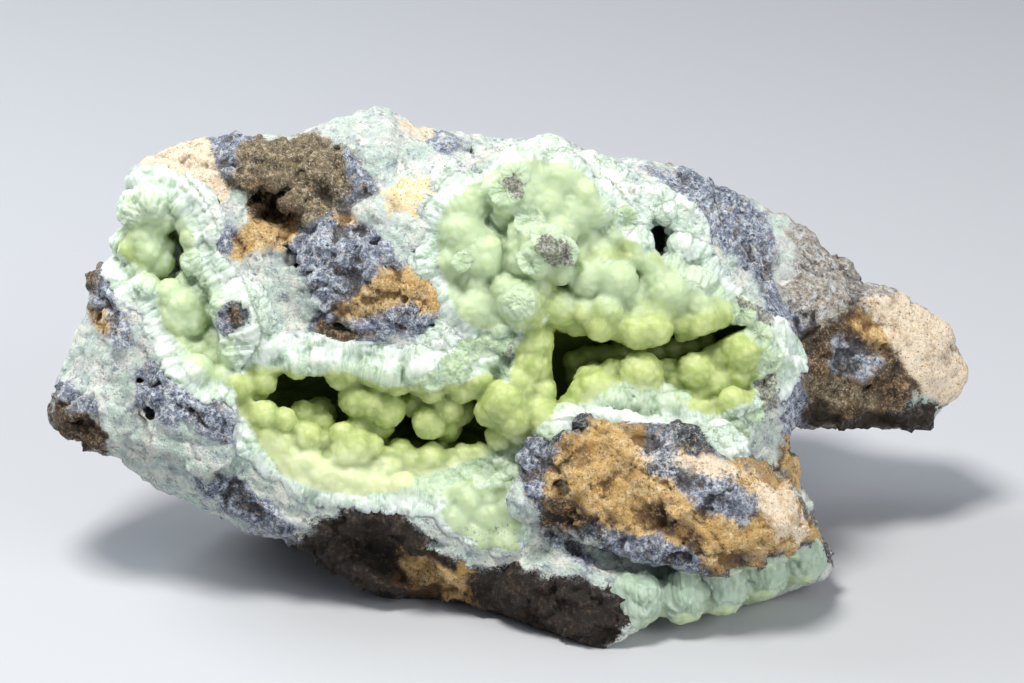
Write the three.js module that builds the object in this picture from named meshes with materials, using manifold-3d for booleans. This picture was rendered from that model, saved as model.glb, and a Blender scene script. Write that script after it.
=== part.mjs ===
// Wavellite on its host rock: a hand specimen about 101 mm long. Lengths are in millimetres.
//
// The host rock is one broken piece of brown and grey rock with a broken face on one side.
// That face is open into a hollow, and a green crust of wavellite balls lines the hollow.
// A second, smaller crust covers the underside of the nose, low on the right.
//
// The specimen is shaped in the frame of its broken face: x to the right, y up the face and
// z out of the face. It is then leaned back and cut flat below, which is how it rests.
import * as THREE from "three";
import { ConvexGeometry } from "three/addons/geometries/ConvexGeometry.js";
import { mergeVertices } from "three/addons/utils/BufferGeometryUtils.js";
import Module from "manifold-3d";

const wasm = await Module();
wasm.setup();

// Driving dimensions
const LEAN = 22; // degrees that the broken face leans back from upright
const REST_HEIGHT = 26.1; // height of the face frame's origin above the resting face
const REST_CENTRE = [5.3, 5.6]; // centre of the resting face, which is the part's origin
const CRUST = 2.6; // thickness of the wavellite crust
const GAP = 0.3; // clearance between the crusts and the rock
const UNDERSIDE_LIFT = 0.6; // how far the crust under the nose stays above the resting face
const ROUGHNESS = 0.55; // how far the broken rock surface wanders
const ROUGH_SIZE = 4.5; // size of that roughness

// Outline of the main mass, seen square to the broken face, from its left tip round the bottom.
const BODY_OUTLINE = [
  [-46.7, -7.0], [-45.2, -9.2], [-42.7, -10.5], [-39.7, -11.9], [-36.2, -14.5], [-32.2, -16.1],
  [-29.7, -17.3], [-26.2, -19.4], [-22.2, -19.9], [-18.7, -22.1], [-16.7, -23.9], [-13.2, -25.9],
  [-8.2, -26.0], [-3.2, -26.9], [2.8, -28.1], [8.8, -30.7], [12.8, -28.6], [17.8, -28.5],
  [22.8, -27.0], [27.8, -24.9], [31.4, -23.9], [32.5, -22.9], [31.2, -20.4], [30.1, -16.9],
  [28.8, -13.9], [28.0, -9.9], [29.4, -6.4], [29.6, -1.9], [28.3, 1.7], [26.3, 5.2],
  [23.8, 9.7], [20.3, 15.7], [17.8, 17.4], [13.8, 18.5], [8.8, 18.6], [5.8, 20.1],
  [-0.2, 20.1], [-6.2, 20.8], [-9.2, 21.2], [-11.2, 22.1], [-12.7, 23.0], [-14.7, 22.9],
  [-17.2, 22.1], [-21.2, 20.9], [-25.7, 20.4], [-28.0, 21.0], [-29.7, 20.4], [-31.2, 20.8],
  [-33.2, 20.2], [-36.2, 18.5], [-38.2, 17.0], [-38.4, 15.2], [-36.9, 13.0], [-38.4, 10.7],
  [-39.4, 8.7], [-41.2, 7.6], [-42.8, 6.7], [-42.4, 3.7], [-43.7, -0.4], [-45.0, -3.9],
];
const BODY_CENTRE = [-6, -3];
// Depth along z and share of the outline, from the broken face to the back.
const BODY_RINGS = [
  [2.9, 0.4], [2.5, 0.68], [1.1, 0.87], [-1.4, 0.965], [-4.5, 1.012], [-13, 0.99], [-24, 0.9], [-36, 0.74],
];

// Angular blocks of rock, each the hull of its corners. The lobe that runs back and to the
// right is two of them, and the others are fragments that stand out of the broken face.
const BLOCKS = {
  lobe: [
    [15, 16, -14], [18.6, 17.9, -15], [22.2, 16.4, -15], [27.5, 13.5, -15.5], [31.7, 11.2, -16.5],
    [34.8, 7.8, -15.5], [37.3, 5.9, -17], [30.2, 0.4, -10.2], [34.5, 3.1, -11.2], [31.0, -8.7, -12],
    [37.4, -9.0, -14], [38.4, -2, -13], [20, 6, -8.5], [16, -6, -9], [16, 11, -29], [28, 7, -31],
    [35, 0, -30], [31, -8, -29], [14, -7, -27],
  ],
  lobeEnd: [
    [30.2, -0.4, -10.4], [32.6, 3.3, -11.4], [35.0, 4.8, -12.4], [39.8, 5.7, -14.5], [46.0, 1.8, -17.5],
    [48.1, -3.0, -19], [46.8, -5.9, -18.5], [44.9, -7.8, -17.5], [43.3, -9.2, -16.5], [35.1, -9.1, -13.0],
    [30.8, -8.9, -12.2], [39.4, -2.6, -13.4], [44.4, -0.4, -15.4], [37.9, 5.9, -19], [44, 1.2, -26],
    [46, -4, -26], [39.5, -7.8, -27.5], [31, -8, -28], [31, 4, -28],
  ],
  topFragment: [
    [-29.6, 20.2, -3.4], [-26.7, 20.6, -3.0], [-19.2, 20.9, -3.2], [-16.4, 19.0, -0.4],
    [-14.2, 15.6, 1.0], [-16.0, 13.4, 2.6], [-21.0, 11.2, 3.6], [-25.0, 14.2, 3.9],
    [-29.0, 17.0, 2.2], [-27.4, 18.6, 2.2], [-20.4, 18.4, 2.6], [-27, 17, -9], [-17, 15, -9],
  ],
  wedge: [
    [-16.8, 13.2, 1.8], [-11.7, 9.2, 3.4], [-8.2, 5.3, 3.4], [-6.0, 2.3, 2.4], [-11.2, 0.4, 3.4],
    [-18.0, 0.2, 3.0], [-20.9, 2.2, 3.2], [-21.7, 8.0, 3.2], [-19.8, 11.4, 2.8], [-17.2, 9.6, 5.2],
    [-13.0, 5.6, 5.4], [-18.4, 3.0, 4.6], [-20, 8, -8], [-10, 3, -8],
  ],
  cornerChip: [
    [-36.2, 18.6, -4.4], [-33.2, 20.3, -5.2], [-31.0, 20.8, -5.6], [-29.8, 18.4, -2.2],
    [-30.0, 15.6, 0.4], [-33.0, 15.2, 0.4], [-35.8, 16.4, -1.0], [-33, 17, -12],
  ],
  eye: [
    [-27.7, 6.0, 2.6], [-31.0, 4.6, 2.4], [-31.6, 1.0, 2.4], [-28.6, -1.4, 2.8], [-24.8, -0.6, 2.8],
    [-23.6, 2.6, 2.8], [-25.0, 5.2, 2.6], [-29.2, 3.8, 4.4], [-29.0, 0.8, 4.5], [-26.0, 0.6, 4.6],
    [-26.0, 3.6, 4.5], [-27.6, 2.2, -6],
  ],
  nose: [
    [2.0, -10.6, 3.2], [5.6, -8.2, 4.0], [8.8, -6.6, 4.2], [13.8, -7.2, 4.4], [18.4, -8.9, 5.0],
    [22.8, -11.0, 5.0], [26.6, -13.2, 4.4], [29.0, -15.2, 3.2], [30.4, -18.9, 2.2], [28.2, -21.2, 3.0],
    [23.4, -22.4, 5.2], [18.8, -23.2, 6.2], [13.8, -22.0, 6.0], [6.8, -19.9, 4.6], [1.8, -16.9, 3.6],
    [0.9, -13.2, 3.0], [8.2, -12.2, 6.4], [13.4, -11.6, 8.2], [21.6, -14.4, 9.4], [27.0, -18.2, 7.8],
    [19.2, -20.6, 8.6], [9.6, -16.6, 6.8], [10, -14, -8], [26, -18, -8],
  ],
  keel: [
    [-1.0, -24.6, 3.2], [4.2, -27.6, 4.0], [8.8, -30.7, 5.6], [12.0, -28.6, 6.0], [13.0, -24.6, 6.4],
    [6.4, -22.0, 5.2], [0.4, -22.0, 3.6], [-4, -27, -4], [8, -30, -3], [13, -28, -3], [6, -20, -4],
  ],
  leftEdge: [
    [-42.6, 7.0, -4.4], [-40.4, 7.9, -3.4], [-38.9, 6.6, -0.8], [-38.2, 2.2, 1.4], [-38.6, -1.2, 2.2],
    [-41.4, -2.4, 0.4], [-43.6, -0.2, -3.2], [-42.6, 3.8, -3.8], [-40.4, 3.4, 0.6], [-39, 2, -10],
  ],
  leftTip: [
    [-46.8, -7.0, -2.8], [-45.0, -9.2, -2.4], [-42.4, -10.4, -1.6], [-39.0, -10.6, 0.8],
    [-38.4, -7.0, 2.2], [-41.4, -4.4, 1.6], [-44.8, -4.4, -1.4], [-43.0, -7.4, 0.8], [-40, -7, -9],
  ],
  leftSwell: [
    [-37.6, -5.4, 2.4], [-33.4, -1.4, 3.0], [-28.6, -2.8, 3.4], [-27.0, -8.0, 4.0],
    [-27.6, -12.4, 3.6], [-31.0, -13.6, 2.2], [-35.6, -11.0, 2.2], [-31.4, -6.6, 4.4], [-32, -7, -6],
  ],
};

// Flat breaks on the back, the top and the ends: outward normal and distance from the origin.
const BREAKS = [
  { normal: [0.06, -0.1, -1], distance: 29.5 },
  { normal: [-0.62, 0.1, -1], distance: 33.5 },
  { normal: [-0.1, 0.85, -1], distance: 29 },
  { normal: [0.8, 0.9, -1], distance: 33 },
  { normal: [-1, -0.75, -0.55], distance: 42 },
  { normal: [-1, 0.3, -0.5], distance: 42.5 },
  { normal: [1, -0.2, -0.55], distance: 40 },
  { normal: [-0.5, -1, -0.9], distance: 36 },
];

// The hollow, as ellipsoids in the face frame: centre, half sizes, turn about z in degrees.
const HOLLOWS = [
  { at: [-13.8, -6.4, -3.4], half: [15.6, 4.1, 11.5], turn: -8 },
  { at: [-10.0, -10.4, 6.4], half: [16.6, 5.0, 6.6], turn: -4 },
  { at: [1.8, -4.4, -2.0], half: [6.4, 4.6, 8.0], turn: 12 },
  { at: [15.6, -2.6, -3.4], half: [11.6, 4.4, 11.5], turn: 4 },
  { at: [13.0, 2.2, 5.4], half: [11.6, 6.8, 7.0], turn: -8 },
  { at: [2.0, 9.0, 6.8], half: [9.4, 8.6, 6.6], turn: -30 },
  { at: [-35.4, 9.8, -1.4], half: [3.4, 5.2, 8.0], turn: 24 },
  { at: [-31.6, 2.8, 3.8], half: [2.7, 7.0, 4.4], turn: 26 },
  { at: [14.8, 10.2, 0.2], half: [1.6, 2.4, 6.0], turn: 20 },
];

// Hollows in the bare rock, without a crust: under the front lip, and between two fragments.
const RECESSES = [
  { at: [-12.6, -22.2, 3.4], half: [7.2, 2.6, 6.4], turn: -24 },
  { at: [-23.6, 12.6, 4.6], half: [4.2, 1.7, 4.4], turn: -28 },
  { at: [-22.0, 8.2, 4.4], half: [1.1, 1.3, 3.6], turn: 0 },
];

// Balls of the crust that line the hollow: centre and radius.
const BALLS = [
  // ceiling and floor of the left end
  [-26.0, -3.7, 0.2, 2.5], [-16.2, -2.7, 0.6, 2.3], [-12.5, -2.9, 1.0, 2.6], [-8.7, -3.1, 0.9, 2.7],
  [-4.9, -2.7, 0.6, 2.6], [-14.0, -6.3, -1.2, 2.8], [-7.4, -7.0, -1.4, 2.8],
  [-20.6, -8.8, -1.8, 2.9], [-16.0, -10.8, 0.2, 2.6],
  // pillar between the two ends
  [2.1, 0.0, 0.2, 2.5], [1.4, -3.6, 0.4, 2.9], [0.4, -6.8, 1.2, 3.3],
  // ceiling of the right end
  [5.0, 3.6, 0.8, 2.5], [9.0, 6.4, 1.3, 2.9], [9.0, 2.6, 1.4, 2.8], [13.0, 1.8, 1.1, 2.9],
  [16.0, 4.8, 1.0, 2.9], [19.0, 2.4, 0.2, 2.9],
  // floor and far wall of the right end
  [12.8, -3.1, -0.2, 2.9], [8.4, -4.8, 0.8, 2.6], [18.4, -3.4, -1.4, 3.0], [23.0, -1.4, -1.4, 3.1],
  [22.4, -7.2, 1.0, 2.6],
  // the mound above the pillar
  [-5.4, 13.4, 0.8, 3.2], [1.2, 14.6, 1.5, 3.8], [6.6, 13.6, 0.6, 3.7], [3.0, 9.2, 2.5, 3.6],
  [-3.6, 8.6, 1.8, 3.3], [0.4, 4.0, 2.3, 3.0], [-3.4, 3.2, 1.7, 3.0],
  // the corner and the channel, on the left
  [-36.4, 13.4, -1.0, 2.5], [-37.0, 9.2, -2.0, 2.7], [-33.0, 3.2, -0.2, 2.8],
];

// Balls of the crust under the nose: centre and radius.
const UNDERSIDE_BALLS = [
  [12.8, -25.4, 3.6, 2.7], [16.8, -25.3, 3.2, 2.8], [20.8, -24.5, 2.4, 2.8], [24.8, -23.2, 1.2, 2.7],
  [28.8, -21.8, -0.4, 2.6], [19.0, -24.6, -0.8, 2.9], [24.6, -23.0, -2.2, 2.8],
];

// A repeatable number from 0 to 1 for a point of a whole-number grid.
function hash(x, y, z, seed) {
  const n = Math.sin(x * 127.1 + y * 311.7 + z * 74.7 + seed * 53.3) * 43758.5453;
  return n - Math.floor(n);
}

// Smooth noise from -1 to 1.
function noise(point, size, seed) {
  const [x, y, z] = [point.x / size, point.y / size, point.z / size];
  const [i, j, k] = [Math.floor(x), Math.floor(y), Math.floor(z)];
  const ease = (t) => t * t * (3 - 2 * t);
  const [a, b, c] = [ease(x - i), ease(y - j), ease(z - k)];
  let sum = 0;
  for (let corner = 0; corner < 8; corner++) {
    const [p, q, r] = [corner & 1, (corner >> 1) & 1, corner >> 2];
    const weight = (p ? a : 1 - a) * (q ? b : 1 - b) * (r ? c : 1 - c);
    sum += weight * hash(i + p, j + q, k + r, seed);
  }
  return 2 * sum - 1;
}

// Moves every vertex of a geometry by fn, which changes the point that it is given.
function reshape(geometry, fn) {
  const position = geometry.attributes.position;
  const point = new THREE.Vector3();
  for (let i = 0; i < position.count; i++) {
    fn(point.fromBufferAttribute(position, i));
    position.setXYZ(i, point.x, point.y, point.z);
  }
  return geometry;
}

function roughen(geometry, amount, size, seed) {
  return reshape(geometry, (p) => {
    const push = new THREE.Vector3(noise(p, size, seed), noise(p, size, seed + 7), noise(p, size, seed + 13));
    p.addScaledVector(push, amount);
  });
}

// A closed skin over rings that repeat one outline at several depths.
function loft(outline, centre, rings) {
  const count = outline.length;
  const points = rings.flatMap(([depth, share]) =>
    outline.flatMap(([x, y]) => [
      centre[0] + (x - centre[0]) * share,
      centre[1] + (y - centre[1]) * share,
      depth,
    ]),
  );
  const faces = [];
  for (let ring = 0; ring + 1 < rings.length; ring++) {
    for (let i = 0; i < count; i++) {
      const j = (i + 1) % count;
      const [a, b] = [ring * count + i, ring * count + j];
      faces.push(a, a + count, b, b, a + count, b + count);
    }
  }
  const [front, back] = [points.length / 3, points.length / 3 + 1];
  points.push(...centre, rings[0][0], ...centre, rings.at(-1)[0]);
  const last = (rings.length - 1) * count;
  for (let i = 0; i < count; i++) {
    const j = (i + 1) % count;
    faces.push(front, i, j, back, last + j, last + i);
  }
  const geometry = new THREE.BufferGeometry();
  geometry.setAttribute("position", new THREE.Float32BufferAttribute(points, 3));
  geometry.setIndex(faces);
  return geometry;
}

// An ellipsoid in the face frame, made larger all round by grow.
function ellipsoid({ at, half, turn }, grow, detail) {
  const geometry = new THREE.IcosahedronGeometry(1, detail);
  geometry.scale(half[0] + grow, half[1] + grow, half[2] + grow);
  geometry.rotateZ(THREE.MathUtils.degToRad(turn));
  return geometry.translate(...at);
}

// Everything outside one flat break.
function beyond({ normal, distance }) {
  const size = 200;
  const slab = new THREE.BoxGeometry(size, size, size).translate(0, 0, size / 2 + distance);
  const turn = new THREE.Quaternion().setFromUnitVectors(
    new THREE.Vector3(0, 0, 1),
    new THREE.Vector3(...normal).normalize(),
  );
  return solid(slab.applyQuaternion(turn));
}

// three.js geometry to a solid, and back again.
function solid(geometry) {
  const bare = new THREE.BufferGeometry().setAttribute("position", geometry.attributes.position);
  const merged = mergeVertices(bare.setIndex(geometry.index), 1e-4);
  const mesh = new wasm.Mesh({
    numProp: 3,
    vertProperties: merged.attributes.position.array,
    triVerts: new Uint32Array(merged.index.array),
  });
  return new wasm.Manifold(mesh);
}

function geometryOf(manifold) {
  const { vertProperties, triVerts } = manifold.getMesh();
  const geometry = new THREE.BufferGeometry();
  geometry.setAttribute("position", new THREE.BufferAttribute(new Float32Array(vertProperties), 3));
  return geometry.setIndex(new THREE.BufferAttribute(new Uint32Array(triVerts), 1));
}

const joined = (solids) => solids.reduce((all, next) => all.add(next));

// Only the largest body of a solid, without the crumbs that a cut can leave.
function largest(manifold) {
  return manifold.decompose().reduce((best, next) => (next.volume() > best.volume() ? next : best));
}

function hollow(grow, detail) {
  return joined(HOLLOWS.map((h) => solid(roughen(ellipsoid(h, grow, detail), 0.5, 5, 20))));
}

function balls(list, grow) {
  return joined(
    list.map(([x, y, z, radius]) => solid(new THREE.IcosahedronGeometry(radius + grow, 1).translate(x, y, z))),
  );
}

function rock() {
  const body = solid(roughen(loft(BODY_OUTLINE, BODY_CENTRE, BODY_RINGS), ROUGHNESS, ROUGH_SIZE, 1));
  const cut = BREAKS.reduce((left, face) => left.subtract(beyond(face)), body);
  const blocks = Object.values(BLOCKS).map((corners) =>
    solid(new ConvexGeometry(corners.map((corner) => new THREE.Vector3(...corner)))),
  );
  return joined([cut, ...blocks]);
}

// Everything lower than a height above the resting face, in the face frame.
function ground(height) {
  const size = 200;
  const slab = new THREE.BoxGeometry(size, size, size).translate(0, 0, height - size / 2);
  return solid(slab.applyMatrix4(FACE_TO_PART.clone().invert()));
}

const FACE_TO_PART = new THREE.Matrix4()
  .makeTranslation(-REST_CENTRE[0], -REST_CENTRE[1], REST_HEIGHT)
  .multiply(new THREE.Matrix4().makeRotationX(THREE.MathUtils.degToRad(90 - LEAN)));

const whole = rock();
const below = ground(0);
const underside = largest(balls(UNDERSIDE_BALLS, 0).subtract(ground(UNDERSIDE_LIFT)));
const cavity = hollow(CRUST + GAP, 1).add(balls(UNDERSIDE_BALLS, GAP));
const recesses = joined(RECESSES.map((recess) => solid(ellipsoid(recess, 0, 1))));
const matrix = largest(whole.subtract(below).subtract(cavity).subtract(recesses));
const outer = hollow(CRUST, 1);
const shell = outer.subtract(hollow(0, 1)).intersect(whole);
const lining = balls(BALLS, 0).intersect(outer);
const crust = largest(shell.add(lining).subtract(below));

const MATERIALS = {
  host_rock: { color: 0x9a8468, roughness: 0.95, metalness: 0 },
  wavellite: { color: 0xb4c987, roughness: 0.4, metalness: 0 },
};

function piece(name, manifold, material) {
  const geometry = geometryOf(manifold).applyMatrix4(FACE_TO_PART);
  const mesh = new THREE.Mesh(geometry, new THREE.MeshStandardMaterial(MATERIALS[material]));
  mesh.name = name;
  return mesh;
}

const specimen = new THREE.Group();
specimen.add(piece("host_rock", matrix, "host_rock"));
specimen.add(piece("wavellite_crust", crust, "wavellite"));
specimen.add(piece("underside_crust", underside, "wavellite"));

export default specimen;
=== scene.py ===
"""Looks of the wavellite specimen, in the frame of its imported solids.

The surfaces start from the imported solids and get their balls, breaks, pits and grain here.
Places on the broken face are given as x and y in a picture 1024 wide and 683 high that
looks square at that face. The face frame is in millimetres: u to the right, v up, w out.
"""

import copy
import math

import bpy
import numpy as np
import openvdb
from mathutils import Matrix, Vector


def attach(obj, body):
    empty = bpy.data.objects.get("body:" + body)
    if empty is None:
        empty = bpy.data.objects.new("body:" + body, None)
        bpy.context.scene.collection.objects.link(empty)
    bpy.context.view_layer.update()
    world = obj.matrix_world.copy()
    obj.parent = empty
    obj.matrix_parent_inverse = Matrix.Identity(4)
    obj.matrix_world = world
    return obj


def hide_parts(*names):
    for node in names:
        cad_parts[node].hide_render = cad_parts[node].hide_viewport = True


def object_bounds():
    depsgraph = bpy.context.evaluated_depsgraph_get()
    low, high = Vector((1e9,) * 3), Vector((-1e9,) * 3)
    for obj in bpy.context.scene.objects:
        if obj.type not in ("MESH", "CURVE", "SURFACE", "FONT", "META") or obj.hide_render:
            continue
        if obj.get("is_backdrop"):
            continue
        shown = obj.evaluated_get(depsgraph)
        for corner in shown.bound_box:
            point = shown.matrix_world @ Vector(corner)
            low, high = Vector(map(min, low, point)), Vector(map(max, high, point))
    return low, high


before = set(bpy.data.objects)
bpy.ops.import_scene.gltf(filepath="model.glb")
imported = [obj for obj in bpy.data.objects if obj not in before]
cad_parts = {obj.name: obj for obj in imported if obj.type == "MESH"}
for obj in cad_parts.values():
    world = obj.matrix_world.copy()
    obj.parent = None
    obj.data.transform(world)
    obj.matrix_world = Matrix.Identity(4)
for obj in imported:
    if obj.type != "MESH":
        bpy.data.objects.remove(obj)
sizes = {"solids": [list(corner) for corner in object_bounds()]}

MM = 0.001
PICTURE = (1024, 683)
PIXEL = 0.1  # millimetres on the plane w = 0
LEAN = math.radians(22)  # of the broken face, back from upright
DISTANCE = 350.0  # from the camera to the face frame's origin
REST = (5.3, 5.6, 26.1)  # the part's origin in the face frame's upright neighbour

FAR = 9.0  # a distance to anything too far away to matter
BLEND = 0.12  # millimetres over which two shapes run into each other

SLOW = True


# Frames

def to_face(points):
    """Part frame in metres to face frame in millimetres."""
    x = points[:, 0] / MM + REST[0]
    y = points[:, 1] / MM + REST[1]
    z = points[:, 2] / MM - REST[2]
    c, s = math.cos(LEAN), math.sin(LEAN)
    return np.stack([x, z * c + y * s, z * s - y * c], axis=1)


def to_part(points):
    """Face frame in millimetres to part frame in metres."""
    u, v, w = points[:, 0], points[:, 1], points[:, 2]
    c, s = math.cos(LEAN), math.sin(LEAN)
    x = u - REST[0]
    y = v * s - w * c - REST[1]
    z = v * c + w * s + REST[2]
    return np.stack([x, y, z], axis=1) * MM


def sight(px, py, w):
    """Point of the face frame at depth w that the picture shows at px, py."""
    near = (DISTANCE - w) / DISTANCE
    u = (px - PICTURE[0] / 2) * PIXEL * near
    v = (PICTURE[1] / 2 - py) * PIXEL * near
    return np.array([u, v, w])


def in_picture(points):
    """Picture x and y of points in the face frame."""
    near = DISTANCE / (DISTANCE - points[:, 2]) / PIXEL
    return PICTURE[0] / 2 + points[:, 0] * near, PICTURE[1] / 2 - points[:, 1] * near


# Noise and shapes

def lattice(i, j, k, seed):
    """A repeatable random number from -1 to 1 for each lattice place."""
    n = (i * 73856093) ^ (j * 19349663) ^ (k * 83492791) ^ (seed * 2654435761)
    n = n & 0xFFFFFFFF
    n = ((n ^ (n >> 13)) * 1274126177) & 0xFFFFFFFF
    return ((n ^ (n >> 16)) & 0xFFFF) / 32767.5 - 1.0


def corners(f):
    """The eight corners of a lattice cell, each with its weight for every point."""
    for step in np.ndindex(2, 2, 2):
        weight = np.ones(len(f))
        for axis in range(3):
            weight *= f[:, axis] if step[axis] else 1 - f[:, axis]
        yield step, weight


def noise(points, size, seed):
    """Smooth noise from -1 to 1 for each point."""
    q = points / size
    base = np.floor(q).astype(np.int64)
    f = q - base
    f = f * f * (3 - 2 * f)
    total = np.zeros(len(points))
    for step, weight in corners(f):
        total += weight * lattice(*(base + step).T, seed)
    return total


def ease(low, high, x):
    """Rises smoothly from 0 at low to 1 at high."""
    t = np.clip((x - low) / (high - low), 0, 1)
    return t * t * (3 - 2 * t)


def corners_of(outline):
    """The corners of an outline, which is written as x,y x,y and so on."""
    return [tuple(int(number) for number in corner.split(",")) for corner in outline.split()]


def inside(outline, x, y):
    """Signed distance to an outline, positive inside, for arrays x and y."""
    best = np.full(len(x), 1e18)
    odd = np.zeros(len(x), bool)
    polygon = corners_of(outline)
    for (ax, ay), (bx, by) in zip(polygon, polygon[1:] + polygon[:1]):
        ex, ey = bx - ax, by - ay
        t = np.clip(((x - ax) * ex + (y - ay) * ey) / (ex * ex + ey * ey), 0, 1)
        best = np.minimum(best, (x - ax - t * ex) ** 2 + (y - ay - t * ey) ** 2)
        cross = (ay > y) != (by > y)
        if ay != by:
            odd ^= cross & (x < ax + (y - ay) * ex / ey)
    return np.sqrt(best) * np.where(odd, 1, -1)


class Field:
    """Signed distances on a grid in the face frame, negative inside."""

    def __init__(self, low, high, step):
        self.step = step
        self.first = np.floor(np.array(low) / step).astype(int)
        self.shape = tuple(np.ceil(np.array(high) / step).astype(int) - self.first + 1)
        self.values = np.full(self.shape, FAR, np.float32)

    @classmethod
    def of_mesh(cls, points, triangles, step, reach, margin=2.0):
        field = cls(points.min(0) - margin, points.max(0) + margin, step)
        grid = openvdb.FloatGrid.createLevelSetFromPolygons(
            points.astype(np.float32),
            triangles=triangles.astype(np.uint32),
            transform=openvdb.createLinearTransform(step),
            halfWidth=reach,
        )
        grid.copyToArray(field.values, ijk=tuple(int(i) for i in field.first))
        return field

    def sample(self, points):
        """Distances at points that lie between the grid's own."""
        q = points / self.step - self.first
        q = np.clip(q, 0, np.array(self.shape) - 1.001)
        base = q.astype(int)
        total = np.zeros(len(points))
        for step, weight in corners(q - base):
            i, j, k = (base + step).T
            total += weight * self.values[i, j, k]
        return total

    def slope(self, points):
        """Unit vectors out of the solid at some points."""
        out = np.empty_like(points)
        for axis in range(3):
            side = np.zeros(3)
            side[axis] = self.step * 0.75
            out[:, axis] = self.sample(points + side) - self.sample(points - side)
        return out / (np.linalg.norm(out, axis=1)[:, None] + 1e-9)

    def soften(self, rounds):
        """Blurs the field, a step of the grid at a time."""
        v = self.values
        for _ in range(rounds):
            for axis in range(3):
                v = (np.roll(v, 1, axis) + 2 * v + np.roll(v, -1, axis)) / 4
        self.values = v.astype(np.float32)

    def block(self, low, high):
        """Slices and point coordinates of the part of the grid between two corners."""
        a = np.maximum(np.floor(np.array(low) / self.step).astype(int) - self.first, 0)
        b = np.minimum(np.ceil(np.array(high) / self.step).astype(int) - self.first + 1, self.shape)
        if (b <= a).any():
            return None, None
        axes = [(np.arange(a[i], b[i]) + self.first[i]) * self.step for i in range(3)]
        return tuple(slice(a[i], b[i]) for i in range(3)), np.meshgrid(*axes, indexing="ij")

    def merge(self, low, high, shape, blend, side):
        """Adds a shape of u, v and w inside a box where side is 1, and cuts it out where it is -1."""
        where, at = self.block(low, high)
        if where is None:
            return
        old = self.values[where]
        new = side * shape(*at)
        mix = np.clip(0.5 + 0.5 * side * (old - new) / blend, 0, 1)
        self.values[where] = old * (1 - mix) + new * mix - side * blend * mix * (1 - mix)

    def join(self, low, high, shape, blend=BLEND):
        self.merge(low, high, shape, blend, 1)

    def cut(self, low, high, shape, blend=BLEND):
        self.merge(low, high, shape, blend, -1)

    def surface(self):
        """Vertices in the face frame and quads of the surface."""
        grid = openvdb.FloatGrid(FAR)
        grid.copyFromArray(np.ascontiguousarray(self.values), tolerance=0)
        points, quads = grid.convertToQuads(isovalue=0)
        points = (points.astype(float) + self.first) * self.step
        return points, quads


def ball(centre, radius):
    """A ball as a function of u, v and w."""
    a, b, c = centre

    def shape(u, v, w):
        return np.sqrt((u - a) ** 2 + (v - b) ** 2 + (w - c) ** 2) - radius

    return shape


def lump(centre, half, turn):
    """An ellipsoid turned about w, with nearly true distances close to its skin."""
    c, s = math.cos(turn), math.sin(turn)

    def shape(u, v, w):
        du, dv, dw = u - centre[0], v - centre[1], w - centre[2]
        x = (du * c + dv * s) / half[0]
        y = (-du * s + dv * c) / half[1]
        z = dw / half[2]
        r = np.sqrt(x * x + y * y + z * z) + 1e-6
        g = np.sqrt((x / half[0]) ** 2 + (y / half[1]) ** 2 + (z / half[2]) ** 2) + 1e-6
        return (r - 1) * r / g

    return shape


def ragged(shape, amount):
    """A shape with an uneven skin."""

    def uneven(u, v, w):
        points = np.stack([u.ravel(), v.ravel(), w.ravel()], axis=1)
        wander = noise(points, 1.2, 61) + 0.5 * noise(points, 0.6, 62)
        return shape(u, v, w) + amount * wander.reshape(u.shape)

    return uneven
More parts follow.
